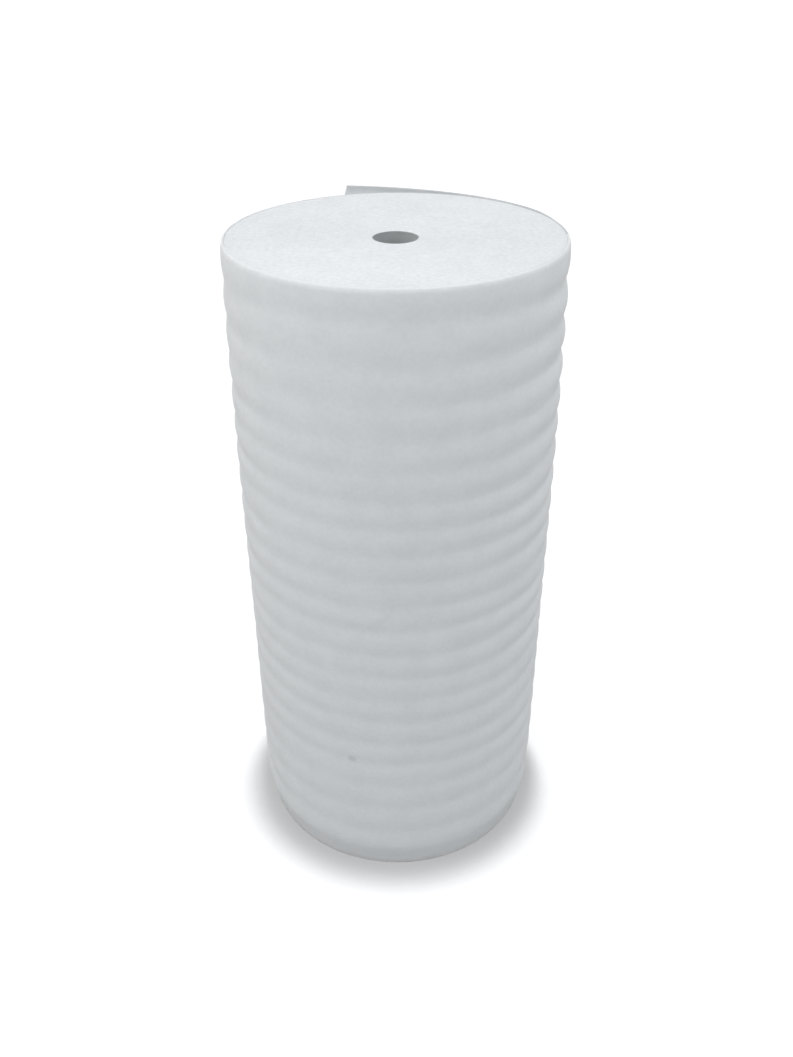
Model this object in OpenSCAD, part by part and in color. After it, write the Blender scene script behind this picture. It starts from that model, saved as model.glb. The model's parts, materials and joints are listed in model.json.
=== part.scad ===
// Roll of foam wrap standing on its end.
// One sheet of foam is wound round an open centre hole. The side wall ripples, both ends show
// the turns, and the loose end of the sheet stands off the back of the roll.
// The origin is on the axis of the hole at the base, with +Z up and the front at -Y.

/* [Roll] */
// Width of the foam sheet, which is the height of the roll on its end
roll_w = 1200; // [600:10:1500]
// Diameter of the open hole down the middle
bore_d = 76; // [50:1:152]
// Thickness of one turn of the sheet
sheet_t = 2.5; // [1.5:0.5:5]
// Turns of sheet round the hole
turns = 101; // [40:1:120]

/* [Ripples] */
// Average height of one ripple up the side wall
ripple_pitch = 56; // [30:1:90]
// Share by which the ripples are taller near the ends and shorter in the middle
ripple_spread = 0.12; // [0:0.01:0.3]
// Part of a ripple that is cut off at the base
ripple_start = 0.4; // [0.05:0.05:0.95]
// Depth of the valleys near the top
ripple_deep = 6; // [1:0.5:12]
// Depth of the valleys near the base
ripple_shallow = 3.5; // [1:0.5:12]
// Points along one ripple
ripple_points = 6; // [4:2:12]

/* [Ends] */
// How far the wall draws in towards both ends of the roll
barrel_in = 3.5; // [0:0.5:12]
// Radius of the rounded upper rim
rim_r = 4; // [2:0.5:15]
// Height of the foot, where the wall tucks in to the base
foot_h = 60; // [20:1:100]
// How far the foot tucks in
foot_in = 11; // [2:0.5:25]
// Width of the groove between two turns on an end face
groove_w = 1; // [0.4:0.1:1.4]
// Depth of the groove between two turns on an end face
groove_d = 0.8; // [0.2:0.1:2]

/* [Loose end] */
// Direction in which the loose end leaves the roll, anticlockwise from +X
tail_from = 50; // [0:1:359]
// Length of sheet from there to its cut end
tail_len = 310; // [100:2:600]
// How much wider the loose end curves than the roll
tail_relax = 240; // [100:2:600]
// Depth to which the root of the loose end is bedded in the roll
tail_root_in = 2; // [1:0.1:2.5]

/* [Hidden] */
$fn = 180;
half_circle = 180;
full_circle = 360;
rim_arc_step = 18;
barrel_power = 4;
bore_r = bore_d / 2;
roll_r = bore_r + turns * sheet_t;
ripple_count = roll_w / ripple_pitch;
tail_sweep = tail_len / (roll_r + tail_relax) * half_circle / PI;

function reversed(points) = [for (i = [len(points) - 1 : -1 : 0]) points[i]];

// Height above the base at which ripple number s starts
function ripple_z(s) =
    let (share = s / ripple_count)
    roll_w * (share + ripple_spread * sin(full_circle * share) / (2 * PI));

// Depth of the wall behind its crowns: rounded bulges with sharp valleys between them
function ripple_in(s) =
    let (depth = ripple_shallow + (ripple_deep - ripple_shallow) * s / ripple_count)
    depth * (1 - abs(sin(half_circle * (s + ripple_start))));

// How far the wall draws in at height z because the roll is a little fuller in the middle
function barrel(z) = barrel_in * pow(abs(2 * z / roll_w - 1), barrel_power);

// How far the foot tucks in at height z
function foot_tuck(z) = z < foot_h ? foot_in * (1 + cos(half_circle * z / foot_h)) / 2 : 0;

// Radius of the side wall where ripple number s starts
function wall_r(s) =
    let (z = ripple_z(s))
    roll_r - barrel(z) - ripple_in(s) - foot_tuck(z);

// Section of the wall, from the base up to height z_end. Each ripple has a point in its valley,
// or beside it where lag is a share of the way to the next point.
function wall(z_end, lag = 0) =
    let (last = ceil((ripple_count + ripple_start) * ripple_points))
    concat([[wall_r(0), 0]],
           [for (i = [0 : last])
               let (s = (i + lag) / ripple_points - ripple_start)
               if (s > 0 && ripple_z(s) < z_end) [wall_r(s), ripple_z(s)]]);

// Section of the rounded rim, from the wall to the upper end face
function rim() =
    [for (a = [0 : rim_arc_step : 90])
        [wall_r(ripple_count) - rim_r * (1 - cos(a)), roll_w - rim_r * (1 - sin(a))]];

// Grooves between the turns of an end face at height z that reaches out to radius r_end
function grooves(z, z_deep, r_end) =
    [for (k = [1 : floor((r_end - groove_w - bore_r) / sheet_t)])
        let (r = bore_r + k * sheet_t)
        each [[r - groove_w / 2, z], [r, z_deep], [r + groove_w / 2, z]]];

// The wound turns, with the hole, the grooves on both ends and the rippled wall in one section
module wound_roll() {
    base = grooves(0, groove_d, wall_r(0));
    top = grooves(roll_w, roll_w - groove_d, wall_r(ripple_count) - rim_r);
    rotate_extrude()
        polygon(concat([[bore_r, 0]], base, wall(roll_w - rim_r), rim(), reversed(top),
                       [[bore_r, roll_w]]));
}

// Loose end of the outer turn: the same rippled sheet, in a curve that has relaxed. Its points
// lie halfway between the roll's, so that no edge of the one lies along an edge of the other.
module loose_end() {
    outer = concat(wall(roll_w, 0.5), [[wall_r(ripple_count), roll_w]]);
    inner = [for (p = outer) [p[0] - sheet_t, p[1]]];
    rotate([0, 0, tail_from])
        translate([-tail_relax - tail_root_in, 0, 0])
            rotate_extrude(angle = tail_sweep)
                translate([tail_relax, 0])
                    polygon(concat(outer, reversed(inner)));
}

module foam_roll() {
    color("whitesmoke") {
        wound_roll();
        loose_end();
    }
}

foam_roll();
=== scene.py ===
"""Looks of the foam wrap roll: the rippled sheet with its loose end, the turns on both ends,
the foam's finish, and a plain studio with the camera at the photograph's angle."""
import json
import math

import bmesh
import bpy
import numpy as np
from mathutils import Matrix, Vector


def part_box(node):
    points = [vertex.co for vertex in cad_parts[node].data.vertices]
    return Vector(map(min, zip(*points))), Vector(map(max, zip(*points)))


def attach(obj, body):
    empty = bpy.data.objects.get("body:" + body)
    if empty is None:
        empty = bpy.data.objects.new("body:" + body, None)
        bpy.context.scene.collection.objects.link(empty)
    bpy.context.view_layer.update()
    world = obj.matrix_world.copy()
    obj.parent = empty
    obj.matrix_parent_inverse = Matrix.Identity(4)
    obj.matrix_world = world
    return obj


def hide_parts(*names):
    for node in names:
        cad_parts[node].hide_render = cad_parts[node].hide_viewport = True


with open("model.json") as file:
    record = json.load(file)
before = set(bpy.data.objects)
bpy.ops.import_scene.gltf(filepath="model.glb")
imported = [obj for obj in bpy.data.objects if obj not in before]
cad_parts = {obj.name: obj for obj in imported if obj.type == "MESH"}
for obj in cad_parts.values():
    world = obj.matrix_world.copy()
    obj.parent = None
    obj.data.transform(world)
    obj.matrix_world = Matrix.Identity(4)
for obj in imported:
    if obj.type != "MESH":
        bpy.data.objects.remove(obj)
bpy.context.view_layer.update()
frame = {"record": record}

TWO_PI = 2 * math.pi
SHARP_ANGLE = math.radians(60)
# Columns of points round the roll
COLUMNS = 240

# Sizes in metres, from the frame where it has them
NODE = "foam_roll"
BODY = "root"
LOW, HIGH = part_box(NODE)
ROLL_W = HIGH.z - LOW.z
BORE_R = frame["record"]["mounts"][0]["dims"]["r_mm"] / 1000
SHEET_T = 0.0025
TURNS = 101
ROLL_R = BORE_R + TURNS * SHEET_T

# Ripples up the side wall: their heights, and the depth of the valleys
RIPPLE_PITCH = 0.056
RIPPLE_COUNT = ROLL_W / RIPPLE_PITCH
RIPPLE_SPREAD = 0.12
RIPPLE_START = 0.4
RIPPLE_DEEP = 0.006
RIPPLE_SHALLOW = 0.0035
RIPPLE_SOFT = 0.18
ROWS_PER_RIPPLE = 7

# How far each ripple strays from its place, in shares of a ripple
LATE_TWICE = -0.07
LATE_ONCE = 0.03
SHIFT_SHARE = 0.07

# Unevenness of the ripples: a seed, the waves round the roll and the waves from ripple to ripple
SHIFT_WAVES = (1, (1, 2, 3, 5), (0.7, 1.9))
DEPTH_WAVES = (2, (1, 2, 4, 7), (1.3, 3.1))
WAVE_REACH = 1.5
UNEVEN_SHARE = 0.35

# Left of the front the ripples fade: by these shares at the base and at the top
CALM = (0.69, 0.9)
CALM_AT = math.radians(-103)
CALM_WIDE = 0.8

# Near the rim all ripples have the same depth, and they start above the foot
TOP_DEPTH = 0.6
TOP_EVEN_H = 0.07
RIPPLES_FULL_H = 0.09

# How far the wall draws in: towards both ends, in the lower part, and at the foot
BARREL_IN = 0.0035
BARREL_POWER = 4
LOWER_IN = 0.002
LOWER_END = ROLL_W * 2 / 3
LOWER_FADE_H = ROLL_W / 3
FOOT_H = 0.06
FOOT_IN = 0.011

# Rim, which is small where the loose end leaves the roll
RIM_R = 0.004
RIM_TALL = 3
RIM_EASE = math.radians(30)
RIM_TURNS = 2
RIM_GROOVE = 0.00015
EDGE_R = 0.001
ROWS_PER_TURN = 3
ROW_GAP = 0.002
# Ripple number of the wall's last row, just under the rim
TOP_S = RIPPLE_COUNT * (1 - RIM_TALL * RIM_R / ROLL_W / (1 + RIPPLE_SPREAD))

# Recess that holds the turns of an end face: its radius on top and at the foot, and its depth
FACE_R = ROLL_R - 0.0105
FOOT_R = ROLL_R - 0.018
FACE_DEEP = 0.01

# Turns on the end faces
DISC_BED = 0.0002
ROW_SHARES = np.array([0, 0.3, 0.7])
GROOVE_D = 0.0009
EDGE_UNEVEN = 0.0003
TURN_WAVES = ((5.1, 1.3), (13.7, 0.4), (2.3, 0))
TOP_DISH = 0.006
DISH_REACH = 0.2

# Loose end: a wider curve than the roll's
TAIL_FROM = math.radians(50)
TAIL_LEN = 0.317
TAIL_RELAX = 0.24
TAIL_STEPS = 48
TAIL_CURVE_R = ROLL_R + TAIL_RELAX
TAIL_CENTRE = -TAIL_RELAX * np.array([math.cos(TAIL_FROM), math.sin(TAIL_FROM)])
TAIL_END_RIPPLES = 0.5
CORNER_BACK = 0.007
CORNER_POWER = 4
CORNER_H = 0.03

# The last turn before the loose end is a little loose too, mostly in its upper quarter
LOOSE = 0.0075
LOOSE_FROM = math.radians(12)
LOOSE_FULL = math.radians(34)
LOOSE_DEEP = 0.008
LOOSE_LOW = 0.3
LOOSE_UP_FROM = 0.75 * ROLL_W
LOOSE_TAIL_END = 0.5

# Upper edge of that turn, which takes the second finish, a painted shade, up to the loose end's tip
PAINTED_SHADE_SLOT = 1
EDGE_SHADE_H = 0.008
EDGE_FROM = math.radians(-2)
EDGE_TO = math.radians(93)

# Finish
WALL_TONES = ((0.85, 0.872, 0.888), (0.877, 0.9, 0.915))
ENDS_TONES = ((0.78, 0.805, 0.825), (0.857, 0.881, 0.9))
# Painted shade on the loose end's inner side: its level below the band and at the upper edge, and
# the band's height
INSIDE_SHADES = (0.88, 0.7)
INSIDE_SHADE_H = 0.016
WALL_SCATTER = 0.005
ENDS_SCATTER = 0.002
MOTTLE_SCALE = 140
MOTTLE_DETAIL = 4
MOTTLE_RANGE = (0.3, 0.65)
CLOUD_SCALE = 22
CLOUD_DETAIL = 2
CLOUD_RANGE = (0.3, 0.7)
CLOUD_DARK = 0.97
# Painted shade on the hole's wall: how far out from the wall it fades, and its level
HOLE_EDGE = (0.0002, 0.001)
HOLE_SHADE = 0.6
SPECK = (-0.0867, -0.2746, 0.2894)
SPECK_CORE_R = 0.0024
SPECK_R = 0.012
SPECK_SHADE = 0.86
ROUGHNESS = 0.62
FOAM_IOR = 1.35
SPECULAR = 0.35

# Bumps: a strength and a distance
CELL_SCALE = 700
CELL_BUMP = (0.35, 0.0006)
PUCKER_SCALE = 90
PUCKER_DETAIL = 3
PUCKER_BUMP = (0.2, 0.003)

# Floor and sky
WHITE = (1, 1, 1, 1)
FLOOR_SIZE = 60
FLOOR_GAP = 0.0003
FLOOR_BOUNCE = (0.3, 0.3, 0.3, 1)
FLOOR_SEEN = (0.9, 0.9, 0.9, 1)
FLOOR_LIFT = 0.35
SKY_TINT = (0.97, 0.985, 1.0, 1)
SKY_STRENGTH = 0.79

# Painted contact shadow round the base, from ambient occlusion, which reaches further at the front
# than at the back
CONTACT_REACH = (0.12, 0.04)
CONTACT_SHORT_SIDE = (0.2, 1, 0)
CONTACT_OPEN = (0.55, 0.98)
CONTACT_SHADE = 0.5
CONTACT_SAMPLES = 16

# Lamps: a name, a place, a power in watts and a colour
LAMP_AIM = (0, 0, 0.8)
LAMP_SIZE = 1.5
LAMPS = (
    ("key", (-1.7, -0.9, 2.4), 10, (1, 0.98, 0.95)),
    ("fill", (1.7, -0.9, 2.4), 4.5, (1, 1, 1)),
    ("front", (0, -1.9, 2.6), 4, (1, 1, 1)),
)

# Camera, fitted to the photograph, whose frame is 793 by 1057 pixels
PHOTO_H = 1057
SENSOR = 36
FOCAL_PX = 1002
CENTRE_OFF_PX = 0.3
CAMERA_BACK = 1.658
CAMERA_UP = 1.65
CAMERA_PITCH = math.radians(31.6)
CAMERA_ROLL = math.radians(-0.25)


def smooth(share):
    """A smooth step from 0 to 1."""
    share = np.clip(share, 0, 1)
    return share * share * (3 - 2 * share)


def direction(angle):
    """Unit vectors in plan, anticlockwise from +X."""
    return np.stack([np.cos(angle), np.sin(angle)], -1)


def ring_points(radius, angles, z):
    """Points round the axis at one height."""
    return np.column_stack([radius * direction(angles), np.full(len(angles), z)])


def ripple_z(s):
    """Height where ripple number s starts."""
    share = s / RIPPLE_COUNT
    return ROLL_W * (share + RIPPLE_SPREAD * np.sin(TWO_PI * share) / TWO_PI)


def ripple_late(s):
    """Share of a ripple by which each one sits lower than the plain rule, as photographed."""
    share = TWO_PI * s / RIPPLE_COUNT
    return LATE_TWICE * np.sin(2 * share) + LATE_ONCE * np.cos(share)


def waves(angle, s, seed, orders, heights):
    """Smooth unevenness from about -1 to 1 over the wall, closed round the roll."""
    draw = np.random.RandomState(seed)
    total = 0
    for order in orders:
        for height in heights:
            phase = draw.uniform(0, TWO_PI)
            total = total + np.sin(order * angle + height * s + phase)
    return total / (len(orders) * len(heights)) ** 0.5 / WAVE_REACH


def wall_in(angle, s, fade):
    """How far the wall lies inside the roll's radius at an angle and a ripple number. Fade is
    the share of the ripples and of the foot that is left there."""
    z = ripple_z(s)
    shift = SHIFT_SHARE * waves(angle, s, *SHIFT_WAVES) + ripple_late(s)
    most_calm = CALM[0] + (CALM[1] - CALM[0]) * z / ROLL_W
    calm = most_calm * np.clip(np.cos(angle - CALM_AT), 0, 1) ** CALM_WIDE
    uneven = (1 + UNEVEN_SHARE * waves(angle, s, *DEPTH_WAVES)) * (1 - calm)
    uneven = uneven + (TOP_DEPTH - uneven) * smooth((z - ROLL_W + TOP_EVEN_H) / TOP_EVEN_H)
    depth = RIPPLE_SHALLOW + (RIPPLE_DEEP - RIPPLE_SHALLOW) * s / RIPPLE_COUNT
    crest = np.hypot(np.sin(math.pi * (s + RIPPLE_START + shift)), RIPPLE_SOFT)
    bulge = (crest - RIPPLE_SOFT) / (math.hypot(1, RIPPLE_SOFT) - RIPPLE_SOFT)
    ripple = depth * uneven * (1 - bulge) * smooth(z / RIPPLES_FULL_H)
    barrel = BARREL_IN * np.abs(2 * z / ROLL_W - 1) ** BARREL_POWER
    foot = np.where(z < FOOT_H, FOOT_IN * (1 + np.cos(math.pi * z / FOOT_H)) / 2, 0)
    lower = LOWER_IN * smooth((LOWER_END - z) / LOWER_FADE_H)
    return (ripple + foot) * fade + barrel + lower


class Builder:
    """Collects vertex grids and the polygons between them. Inside holds the numbers of the
    polygons on the loose end's inner side."""

    def __init__(self):
        self.points = []
        self.polygons = []
        self.inside = range(0)

    def add(self, points):
        """Adds points of any grid shape and returns their numbers in that shape."""
        flat = np.asarray(points, float).reshape(-1, 3)
        start = len(self.points)
        self.points.extend(flat)
        return np.arange(start, start + len(flat)).reshape(np.shape(points)[:-1])

    def quads(self, grid):
        """Fills a grid whose rows go up or in and whose columns go anticlockwise."""
        a, b, c, d = grid[:-1, :-1], grid[1:, :-1], grid[1:, 1:], grid[:-1, 1:]
        for quad in np.stack([a, b, c, d], -1).reshape(-1, 4):
            self.face(quad)

    def face(self, loop):
        """Adds one polygon, without the corners that fall on the one before them."""
        kept = [int(corner) for n, corner in enumerate(loop) if corner != loop[n - 1]]
        if len(kept) > 2:
            self.polygons.append(kept)


def new_object(name, build):
    """Makes a piece of the roll from a builder's points and polygons."""
    mesh = bpy.data.meshes.new(name)
    mesh.from_pydata([tuple(p) for p in build.points], [], build.polygons)
    shell = bmesh.new()
    shell.from_mesh(mesh)
    bmesh.ops.recalc_face_normals(shell, faces=shell.faces)
    shell.to_mesh(mesh)
    shell.free()
    mesh.shade_smooth()
    mesh.set_sharp_from_angle(angle=SHARP_ANGLE)
    obj = bpy.data.objects.new(name, mesh)
    bpy.context.scene.collection.objects.link(obj)
    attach(obj, BODY)
    return obj


def polar_on_tail(radius, angle):
    """Angle about the loose end's centre where a ray from the axis meets its curve."""
    off = angle - TAIL_FROM
    aside = TAIL_RELAX * math.sin(off)
    reach = math.sqrt(radius**2 - aside**2) - TAIL_RELAX * math.cos(off)
    point = reach * direction(np.array(angle)) - TAIL_CENTRE
    return math.atan2(point[1], point[0])


def root_angle():
    """Direction in which the loose end's inner side comes clear of the roll."""
    inner = TAIL_CURVE_R - SHEET_T
    cosine = (inner**2 - ROLL_R**2 - TAIL_RELAX**2) / (2 * ROLL_R * TAIL_RELAX)
    return TAIL_FROM + math.acos(cosine)


def row_numbers():
    """Ripple numbers of the wall's rows. The last row is where the rim starts."""
    s = np.arange(int(RIPPLE_COUNT * ROWS_PER_RIPPLE) + 1) / ROWS_PER_RIPPLE
    return [*s[ripple_z(s) < ROLL_W - RIM_TALL * RIM_R - ROW_GAP], TOP_S]


def side_rows(base, outward, angle, fade, radius, loose):
    """Rows of one side of the sheet, from the base up to where its rim starts."""
    rows = []
    for number in row_numbers():
        depth = wall_in(angle, np.full(len(base), number), fade)
        z = np.full(len(base), ripple_z(number))
        if number == TOP_S:
            z = ROLL_W - RIM_TALL * radius
        upper = smooth((z - LOOSE_UP_FROM) / (ROLL_W - LOOSE_UP_FROM))
        stand_off = LOOSE * loose * (LOOSE_LOW + (1 - LOOSE_LOW) * upper)
        rows.append(np.column_stack([base + outward * (stand_off - depth)[:, None], z]))
    return rows


def rim_rows(base, inward, radius):
    """Rows of the rounded upper edge: base is the plan line, inward its unit directions."""
    rows = []
    count = RIM_TURNS * ROWS_PER_TURN
    for n in range(1, count + 1):
        bend = math.pi / 2 * n / count
        at_groove = n % ROWS_PER_TURN == 0
        groove = RIM_GROOVE * radius / RIM_R if at_groove else np.zeros_like(radius)
        across = radius - (radius - groove) * math.cos(bend)
        drop = radius * (1 - math.sin(bend)) + groove * math.sin(bend) / RIM_TALL
        plan = base + inward * across[:, None]
        rows.append(np.column_stack([plan, ROLL_W - RIM_TALL * drop]))
    return rows


def draw_corner_back(rows, along):
    """Draws the top corner of the loose end back, by the points' shares along it."""
    for row in rows:
        upper = smooth((row[:, 2] - ROLL_W + CORNER_H) / CORNER_H)
        turn = -CORNER_BACK / TAIL_CURVE_R * along**CORNER_POWER * upper
        off = row[:, :2] - TAIL_CENTRE
        across = np.column_stack([-off[:, 1], off[:, 0]])
        row[:, :2] = TAIL_CENTRE + off * np.cos(turn)[:, None] + across * np.sin(turn)[:, None]


def build_sheet():
    """The rippled outer turn with its loose end, the rim, the foot and the hole, in one mesh."""
    root = root_angle()
    angles = root + np.arange(COLUMNS) * TWO_PI / COLUMNS
    on_tail = angles > TAIL_FROM + TWO_PI
    turned = np.array([
        polar_on_tail(TAIL_CURVE_R, angle - TWO_PI) if tail else 0
        for angle, tail in zip(angles, on_tail)
    ])
    base = np.where(
        on_tail[:, None],
        TAIL_CENTRE + TAIL_CURVE_R * direction(turned),
        ROLL_R * direction(angles),
    )
    outward = direction(np.where(on_tail, turned, angles))
    loose = smooth((angles - TWO_PI - LOOSE_FROM) / (LOOSE_FULL - LOOSE_FROM))

    # Rim radius: small beside the root of the loose end, full elsewhere
    from_root = np.minimum(angles - root, root + TWO_PI - angles)
    radius = EDGE_R + (RIM_R - EDGE_R) * smooth(from_root / RIM_EASE)

    # The loose end's two sides. The inner one starts on the wall's first column
    inner_r = TAIL_CURVE_R - SHEET_T
    sweep_end = TAIL_FROM + TAIL_LEN / TAIL_CURVE_R
    outer_turn = np.linspace(polar_on_tail(TAIL_CURVE_R, root), sweep_end, TAIL_STEPS)
    inner_turn = np.linspace(polar_on_tail(inner_r, root), sweep_end, TAIL_STEPS)[1:]
    outer_way = direction(outer_turn)
    inner_way = direction(inner_turn)
    outer_base = TAIL_CENTRE + TAIL_CURVE_R * outer_way
    inner_base = TAIL_CENTRE + inner_r * inner_way
    edge = np.full(TAIL_STEPS, EDGE_R)
    along = np.linspace(0, 1, TAIL_STEPS)
    fade = np.linspace(1, TAIL_END_RIPPLES, TAIL_STEPS)
    tail_loose = 1 - (1 - LOOSE_TAIL_END) * smooth(along)

    wall = side_rows(base, outward, angles, 1, radius, loose)
    levels = len(wall)
    tail_out = side_rows(outer_base, outer_way, outer_turn, fade, edge, tail_loose)
    tail_in = side_rows(inner_base, inner_way, inner_turn, fade[1:], edge[1:], tail_loose[1:])
    top_line = wall[-1][:, :2]
    wall += rim_rows(top_line, -outward, radius)
    tail_out += rim_rows(tail_out[-1][:, :2], -outer_way, edge)
    tail_in += rim_rows(tail_in[-1][:, :2], inner_way, edge[1:])
    first_in = rim_rows(top_line[:1], inner_way[:1], edge[:1])
    draw_corner_back(tail_out, along)
    draw_corner_back(tail_in, along[1:])

    build = Builder()
    wall_n = build.add(np.array(wall))
    out_n = build.add(np.array(tail_out))
    in_n = build.add(np.array(tail_in))
    first_n = build.add(np.array(first_in))

    # Wall, closed onto the loose end's outer side, and the inner side
    build.quads(np.column_stack([wall_n, out_n[:, 0]])[:, ::-1])
    build.quads(out_n[:, ::-1])
    root_line = np.concatenate([wall_n[:levels, 0], first_n[:, 0]])
    inner_side = np.column_stack([root_line, in_n])
    before = len(build.polygons)
    build.quads(inner_side)
    build.inside = range(before, len(build.polygons))

    # Upper edge, cut edge and lower edge of the loose end, and the notch at its root
    build.quads(np.stack([out_n[-1], inner_side[-1]])[:, ::-1])
    build.quads(np.column_stack([inner_side[:, -1], out_n[:, -1]]))
    build.quads(np.stack([inner_side[0], out_n[0]])[:, ::-1])
    build.face([*wall_n[levels - 1:, 0][::-1], *first_n[:, 0]])

    # Groove inside the outer turn, which opens where that turn is loose
    groove_line = (wall[-1][:, :2] + FACE_R * direction(angles)) / 2
    groove_z = ROLL_W - RIM_GROOVE - LOOSE_DEEP * loose
    groove = build.add(np.column_stack([groove_line, groove_z]))

    # Recess for the upper turns, hole, recess for the lower turns, and the base
    rings = (
        (FACE_R, ROLL_W),
        (FACE_R, ROLL_W - FACE_DEEP),
        (BORE_R, ROLL_W - FACE_DEEP),
        (BORE_R, FACE_DEEP),
        (FOOT_R, FACE_DEEP),
        (FOOT_R, 0),
    )
    stack = np.stack([build.add(ring_points(ring_r, angles, z)) for ring_r, z in rings])
    build.quads(np.column_stack([stack, stack[:, 0]])[:, ::-1])

    # Rings that close onto the root of the loose end: round the rim, then round the base
    top = stack[0]
    bottom = stack[-1]
    build.quads(np.stack([wall_n[-1], groove, top])[:, ::-1])
    build.face((wall_n[-1, -1], out_n[-1, 0], first_n[-1, 0], wall_n[-1, 0], groove[0], groove[-1]))
    build.face((groove[-1], groove[0], top[0], top[-1]))
    build.quads(np.stack([bottom, wall_n[0]])[:, ::-1])
    build.face((wall_n[0, -1], out_n[0, 0], wall_n[0, 0], bottom[0], bottom[-1]))
    return build


def build_turns(z_face, up, outer_r, dish):
    """The turns of one end face: a disc whose face carries the spiral of sheet edges, and
    lies lower towards the hole by the dish."""
    disc_r = outer_r + DISC_BED
    columns = np.arange(COLUMNS)
    angles = columns * TWO_PI / COLUMNS
    last = int((disc_r - BORE_R) / SHEET_T + 1) * ROWS_PER_TURN
    rows = np.arange(-ROWS_PER_TURN, last + ROWS_PER_TURN + 1)[:, None]
    turn = rows // ROWS_PER_TURN + ROW_SHARES[rows % ROWS_PER_TURN] + columns / COLUMNS
    radius = np.clip(BORE_R + SHEET_T * turn, BORE_R, disc_r)
    whole_turn = rows // ROWS_PER_TURN + columns / COLUMNS
    uneven = sum(np.sin(whole_turn * pace + phase) for pace, phase in TURN_WAVES)
    tops = EDGE_UNEVEN * (uneven / len(TURN_WAVES) - 1)
    height = np.where(rows % ROWS_PER_TURN == 0, -GROOVE_D, tops)
    at_border = (radius <= BORE_R) | (radius >= disc_r)
    height = np.where(at_border, -EDGE_UNEVEN, height)
    height = height - dish * (1 - smooth((radius - BORE_R) / DISH_REACH))
    points = [radius * np.cos(angles), radius * np.sin(angles), z_face + up * height]

    build = Builder()
    grid = build.add(np.stack(points, -1))
    # Where a row has been cut off at the hole or at the outer edge, its points are one point
    for column in range(COLUMNS):
        for border in (BORE_R, disc_r):
            hits = np.flatnonzero(radius[:, column] == border)
            grid[hits, column] = grid[hits[0], column]
    # The last column closes onto the first one, a turn further out
    beyond = np.concatenate([grid[ROWS_PER_TURN:, 0], np.full(ROWS_PER_TURN, grid[-1, 0])])
    build.quads(np.column_stack([grid, beyond]))
    low_z = z_face - up * (FACE_DEEP + DISC_BED)
    low_in = build.add(ring_points(BORE_R, angles, low_z))
    low_out = build.add(ring_points(disc_r, angles, low_z))
    under = np.stack([grid[-1], low_out, low_in, grid[0]])
    build.quads(np.column_stack([under, under[:, 0]]))
    return build


def paint_shade_inside(sheet, inside):
    """Gives the second finish, the foam with painted shade, to the loose end's inner side and to the
    edge of the loose turn.
    """
    for polygon in sheet.data.polygons:
        x, y, z = polygon.center
        at_edge = z > ROLL_W - EDGE_SHADE_H and math.hypot(x, y) > FACE_R
        on_loose_turn = EDGE_FROM < math.atan2(y, x) < EDGE_TO
        if (at_edge and on_loose_turn) or polygon.index in inside:
            polygon.material_index = PAINTED_SHADE_SLOT


def emptied_tree(owner):
    """The node tree of a material or world, with no nodes in it."""
    owner.use_nodes = True
    owner.node_tree.nodes.clear()
    return owner.node_tree


def add_node(tree, kind, inputs=None, **settings):
    """A new shader node. Each input, by name or number, is set to a value or linked to an output."""
    node = tree.nodes.new("ShaderNode" + kind)
    for name, setting in settings.items():
        setattr(node, name, setting)
    for name, value in (inputs or {}).items():
        if isinstance(value, bpy.types.NodeSocket):
            tree.links.new(value, node.inputs[name])
        else:
            node.inputs[name].default_value = value
    return node


def mapped(tree, value, from_low, from_high, to_low, to_high):
    """A smooth step of a value between two levels."""
    levels = {"From Min": from_low, "From Max": from_high, "To Min": to_low, "To Max": to_high}
    step = add_node(tree, "MapRange", {"Value": value, **levels}, interpolation_type="SMOOTHSTEP")
    return step.outputs["Result"]


def mixed(tree, factor, first, second, blend="MIX"):
    """A mix of two colours."""
    inputs = {"Factor": factor, "A": first, "B": second}
    mix = add_node(tree, "Mix", inputs, data_type="RGBA", blend_type=blend)
    return mix.outputs["Result"]


def multiplied(tree, colour, factor):
    """A colour times another colour or a value."""
    return mixed(tree, 1, colour, factor, "MULTIPLY")


def reckoned(tree, operation, first, second):
    """The result of an operation on two values."""
    return add_node(tree, "Math", {0: first, 1: second}, operation=operation).outputs[0]


def vector_value(tree, operation, first, second):
    """The number that an operation makes from two vectors."""
    node = add_node(tree, "VectorMath", {0: first, 1: second}, operation=operation)
    return node.outputs["Value"]


def noise(tree, place, scale, detail):
    """Soft cloudy values from 0 to 1."""
    inputs = {"Vector": place, "Scale": scale, "Detail": detail}
    return add_node(tree, "TexNoise", inputs).outputs["Fac"]


def bumped(tree, height, strength, distance, below=None):
    """The normal of a bump of this height, on top of the bump below it."""
    inputs = {"Height": height, "Strength": strength, "Distance": distance}
    if below:
        inputs["Normal"] = below
    return add_node(tree, "Bump", inputs).outputs["Normal"]


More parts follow.
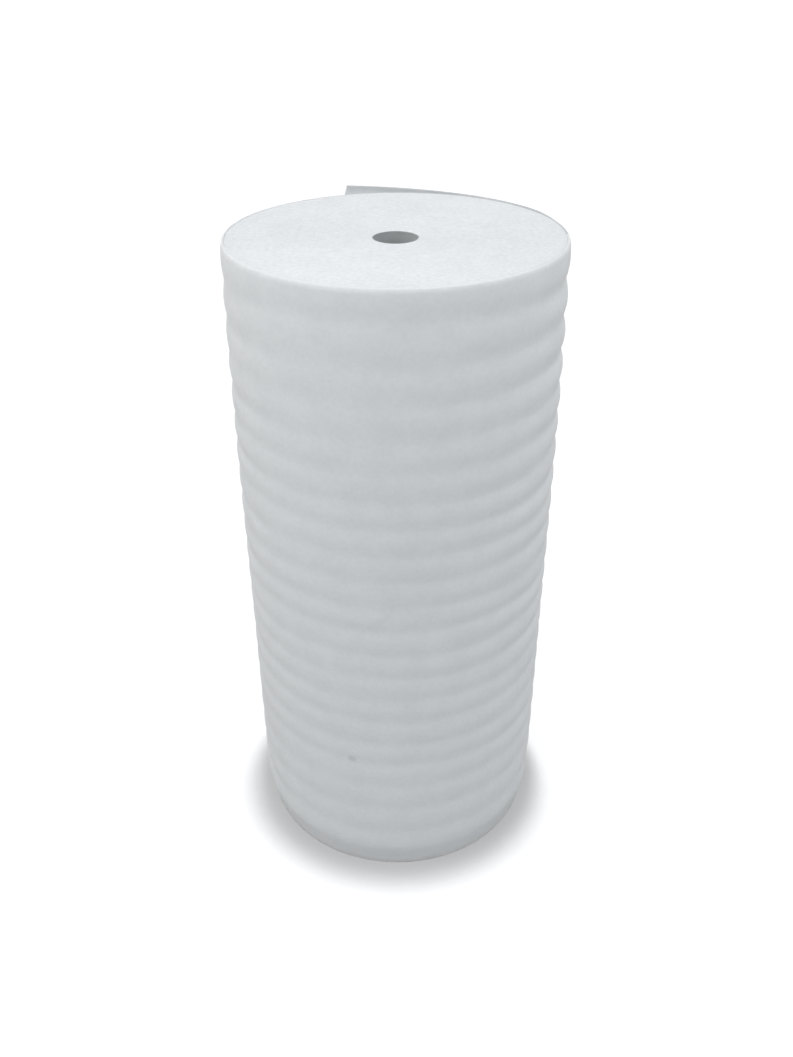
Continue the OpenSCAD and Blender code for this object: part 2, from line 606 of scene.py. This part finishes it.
def foam_material(name, tones, scatter, shades=None):
    """White closed-cell foam: fine cells, soft mottling, light passing through, painted shade in the
    hole, and painted shade on the loose end's inner side where shades are given.
    """
    material = bpy.data.materials.new(name)
    tree = emptied_tree(material)
    place = add_node(tree, "TexCoord").outputs["Object"]

    mottle = noise(tree, place, MOTTLE_SCALE, MOTTLE_DETAIL)
    clouds = noise(tree, place, CLOUD_SCALE, CLOUD_DETAIL)
    ramp = add_node(tree, "ValToRGB", {"Fac": mottle})
    for element, position, tone in zip(ramp.color_ramp.elements, MOTTLE_RANGE, tones):
        element.position = position
        element.color = (*tone, 1)
    shade = mapped(tree, clouds, *CLOUD_RANGE, CLOUD_DARK, 1)
    tint = multiplied(tree, ramp.outputs["Color"], shade)

    # The hole's wall gets little light: dim it from the rim of the hole inwards
    flat = add_node(tree, "VectorMath", {0: place, 1: (1, 1, 0)}, operation="MULTIPLY")
    reach = vector_value(tree, "DISTANCE", flat.outputs["Vector"], (0, 0, 0))
    border = [BORE_R + step for step in HOLE_EDGE]
    tint = multiplied(tree, tint, mapped(tree, reach, *border, HOLE_SHADE, 1))

    # Painted shade: the inner side of the loose end gets darker towards its upper edge
    if shades:
        height = add_node(tree, "SeparateXYZ", {"Vector": place}).outputs["Z"]
        shade = mapped(tree, height, ROLL_W - INSIDE_SHADE_H, ROLL_W, *shades)
        tint = multiplied(tree, tint, shade)

    away = vector_value(tree, "DISTANCE", place, SPECK)
    tint = multiplied(tree, tint, mapped(tree, away, SPECK_CORE_R, SPECK_R, SPECK_SHADE, 1))

    inputs = {"Vector": place, "Scale": CELL_SCALE}
    cells = add_node(tree, "TexVoronoi", inputs, feature="SMOOTH_F1")
    grain = bumped(tree, cells.outputs["Distance"], *CELL_BUMP)
    puckers = noise(tree, place, PUCKER_SCALE, PUCKER_DETAIL)
    shader = add_node(tree, "BsdfPrincipled", {
        "Base Color": tint,
        "Normal": bumped(tree, puckers, *PUCKER_BUMP, grain),
        "Roughness": ROUGHNESS,
        "IOR": FOAM_IOR,
        "Specular IOR Level": SPECULAR,
        "Subsurface Weight": 1,
        "Subsurface Radius": (1, 1, 1),
        "Subsurface Scale": scatter,
    })
    add_node(tree, "OutputMaterial", {"Surface": shader.outputs["BSDF"]})
    return material


def to_eye(tree):
    """1 for camera, glossy and transmission rays, 0 for the rays that carry light."""
    path = add_node(tree, "LightPath")
    total = path.outputs["Is Camera Ray"]
    for name in ("Is Glossy Ray", "Is Transmission Ray"):
        total = reckoned(tree, "MAXIMUM", total, path.outputs[name])
    return total


def floor_material():
    """Pale floor: plain white to the camera and in reflections; it keeps the object's shadow and
    adds a painted contact shadow round the base.
    """
    material = bpy.data.materials.new("floor_finish")
    tree = emptied_tree(material)
    seen = to_eye(tree)
    place = add_node(tree, "TexCoord").outputs["Object"]
    # Painted contact shadow: ambient occlusion darkens the floor's colour and glow round the base
    side = vector_value(tree, "DOT_PRODUCT", place, CONTACT_SHORT_SIDE)
    reach = mapped(tree, side, -ROLL_R, ROLL_R, *CONTACT_REACH)
    near = add_node(tree, "AmbientOcclusion", {"Distance": reach}, samples=CONTACT_SAMPLES)
    contact = mapped(tree, near.outputs["AO"], *CONTACT_OPEN, CONTACT_SHADE, 1)
    colour = mixed(tree, seen, FLOOR_BOUNCE, multiplied(tree, FLOOR_SEEN, contact))
    matt = add_node(tree, "BsdfDiffuse", {"Color": colour})
    shown = reckoned(tree, "MULTIPLY", seen, contact)
    lift = reckoned(tree, "MULTIPLY", shown, FLOOR_LIFT)
    glow = add_node(tree, "Emission", {"Color": WHITE, "Strength": lift})
    both = add_node(tree, "AddShader", {0: matt.outputs["BSDF"], 1: glow.outputs["Emission"]})
    add_node(tree, "OutputMaterial", {"Surface": both.outputs["Shader"]})
    return material


def make_floor():
    """A wide floor just under the base, which is stage and not part of the roll."""
    half = FLOOR_SIZE / 2
    corners = ((-half, -half), (half, -half), (half, half), (-half, half))
    mesh = bpy.data.meshes.new("floor")
    mesh.from_pydata([(x, y, -FLOOR_GAP) for x, y in corners], [], [(0, 1, 2, 3)])
    floor = bpy.data.objects.new("floor", mesh)
    bpy.context.scene.collection.objects.link(floor)
    mesh.materials.append(floor_material())


def make_world():
    """A pale sky that gives soft light and looks plain white."""
    world = bpy.data.worlds.new("studio")
    bpy.context.scene.world = world
    tree = emptied_tree(world)
    light = add_node(tree, "Background", {"Color": SKY_TINT, "Strength": SKY_STRENGTH})
    white = add_node(tree, "Background", {"Color": WHITE, "Strength": 1})
    inputs = {0: to_eye(tree), 1: light.outputs[0], 2: white.outputs[0]}
    pick = add_node(tree, "MixShader", inputs)
    add_node(tree, "OutputWorld", {"Surface": pick.outputs[0]})


def make_lamp(name, place, power, colour):
    """A soft square lamp at place, turned towards the roll."""
    lamp = bpy.data.lights.new(name, "AREA")
    lamp.shape = "SQUARE"
    lamp.size = LAMP_SIZE
    lamp.energy = power
    lamp.color = colour
    obj = bpy.data.objects.new(name, lamp)
    bpy.context.scene.collection.objects.link(obj)
    obj.location = place
    obj.rotation_euler = (Vector(LAMP_AIM) - Vector(place)).to_track_quat("-Z", "Y").to_euler()


def make_camera():
    """The camera in front of the roll, pitched down and rolled as in the photograph."""
    camera = bpy.data.cameras.new("camera")
    camera.sensor_width = SENSOR
    camera.lens = FOCAL_PX / PHOTO_H * SENSOR
    camera.shift_x = -CENTRE_OFF_PX / PHOTO_H
    obj = bpy.data.objects.new("camera", camera)
    bpy.context.scene.collection.objects.link(obj)
    pitch = Matrix.Rotation(math.pi / 2 - CAMERA_PITCH, 4, "X")
    roll = Matrix.Rotation(CAMERA_ROLL, 4, "Z")
    obj.matrix_world = Matrix.Translation((0, -CAMERA_BACK, CAMERA_UP)) @ pitch @ roll
    bpy.context.scene.camera = obj


sheet_build = build_sheet()
sheet = new_object("foam_sheet", sheet_build)
paint_shade_inside(sheet, sheet_build.inside)
upper = new_object("upper_turns", build_turns(ROLL_W, 1, FACE_R, TOP_DISH))
lower = new_object("lower_turns", build_turns(0, -1, FOOT_R, 0))
sheet.data.materials.append(foam_material("foam_wall", WALL_TONES, WALL_SCATTER))
# Second finish: the same foam with painted shade, for the loose end's inner side and the loose
# turn's upper edge
sheet.data.materials.append(foam_material("foam_inside_painted_shade", WALL_TONES, WALL_SCATTER, INSIDE_SHADES))
ends = foam_material("foam_ends", ENDS_TONES, ENDS_SCATTER)
upper.data.materials.append(ends)
lower.data.materials.append(ends)
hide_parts(NODE)
make_floor()
make_world()
for lamp in LAMPS:
    make_lamp(*lamp)
make_camera()
bpy.context.scene.view_settings.view_transform = "Standard"
